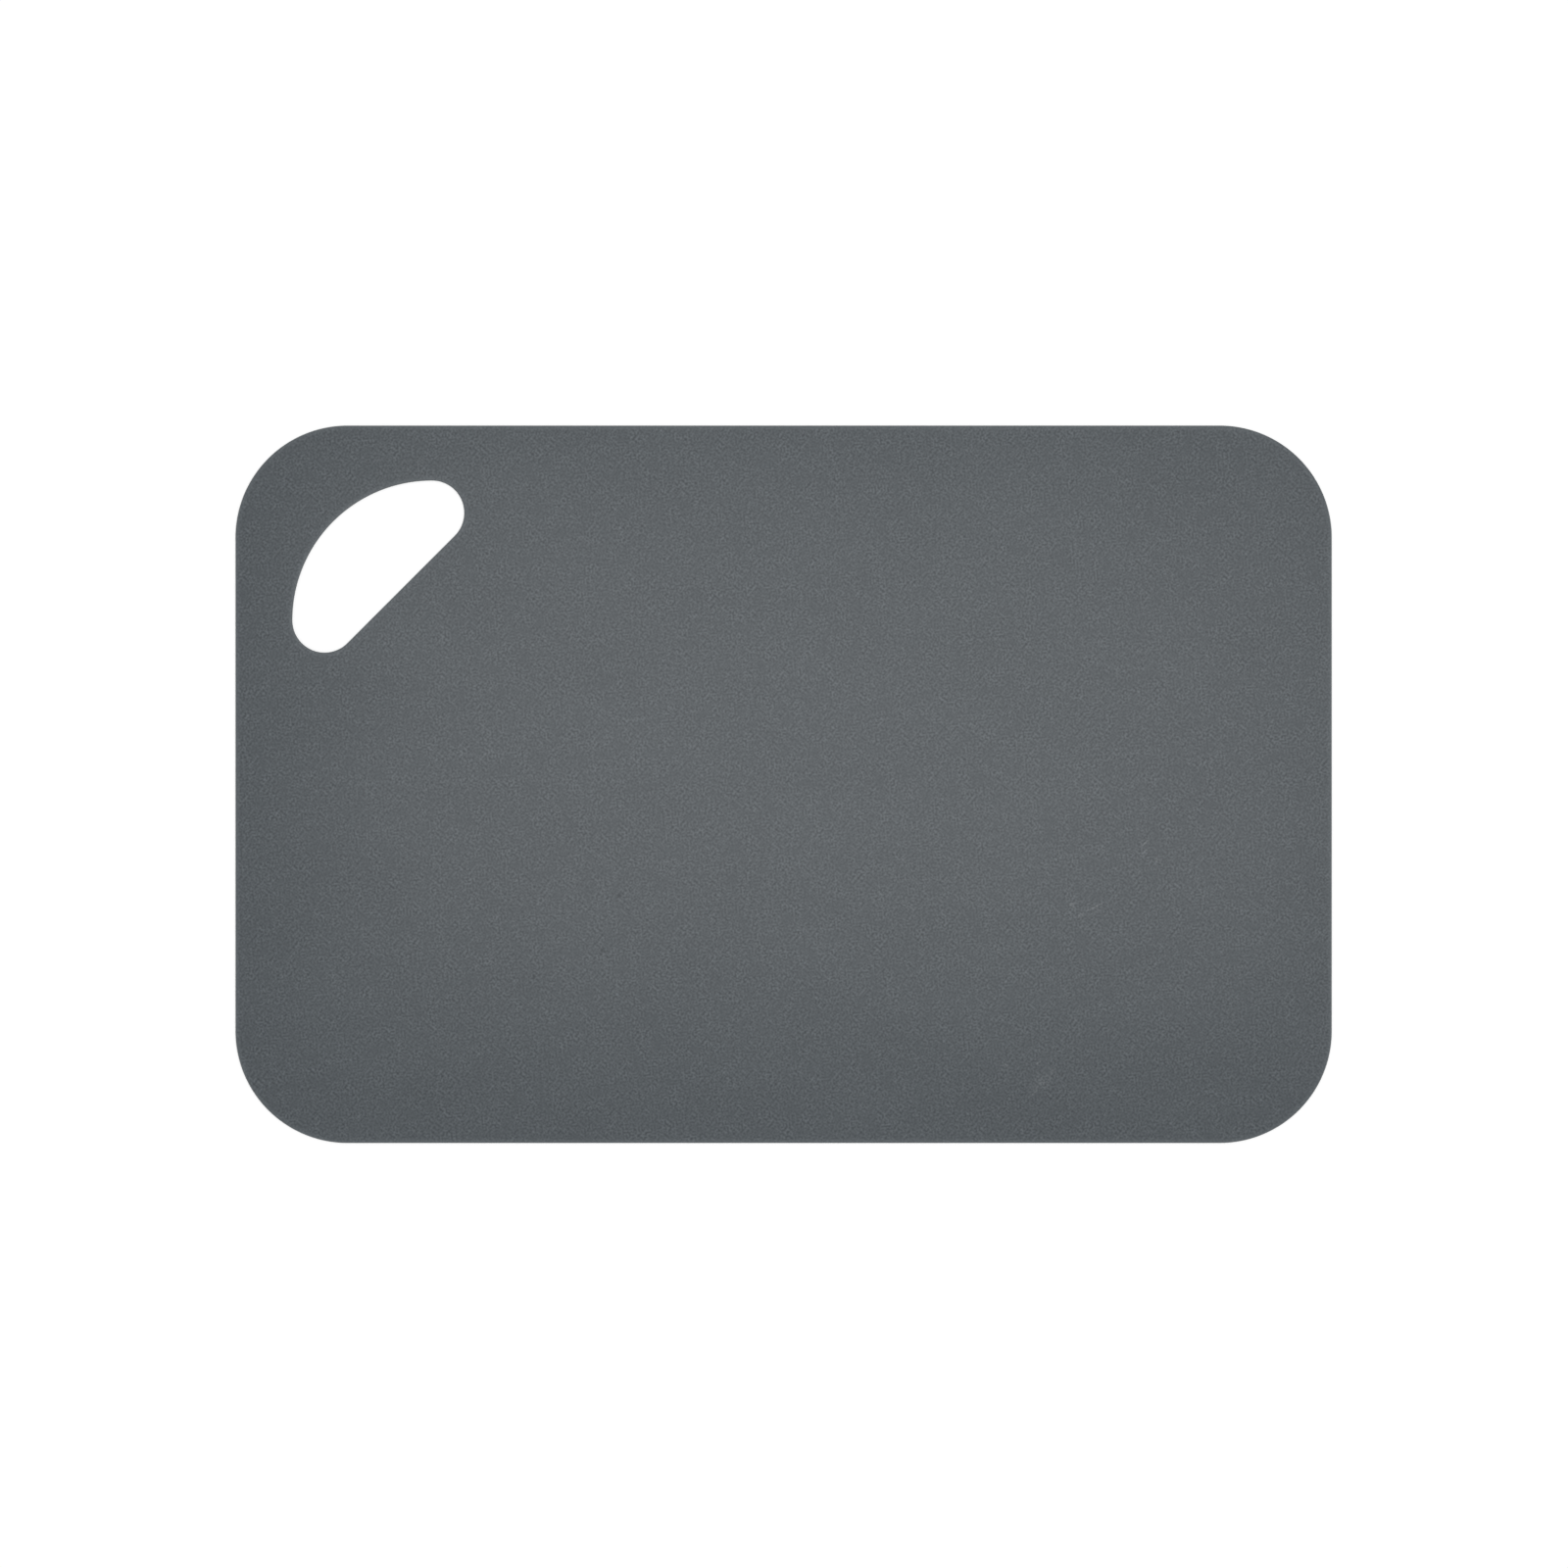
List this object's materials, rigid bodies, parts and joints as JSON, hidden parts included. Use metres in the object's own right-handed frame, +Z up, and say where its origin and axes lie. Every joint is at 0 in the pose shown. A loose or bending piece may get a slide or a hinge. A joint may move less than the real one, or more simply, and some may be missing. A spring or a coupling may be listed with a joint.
{
  "type": "flexible cutting mat",
  "caption": "Thin bendable plastic cutting mat with large round corners and a D-shaped hand opening cut through one corner, for carrying it and hanging it up.",
  "frame": {"origin": "middle of the underside, which lies on the worktop at z = 0", "axes": "+Z up from the worktop, +X along the length, +Y towards the long side that has the hand opening; the opening is at the -X end, as in the picture"},
  "size_m": [0.382, 0.25, 0.0015],
  "materials": {
    "mat_plastic": "slate grey polypropylene sheet, both faces embossed with a fine even grain, low soft sheen"
  },
  "bodies": {
    "root": {"mat": "mat_plastic"}
  },
  "joints": []
}
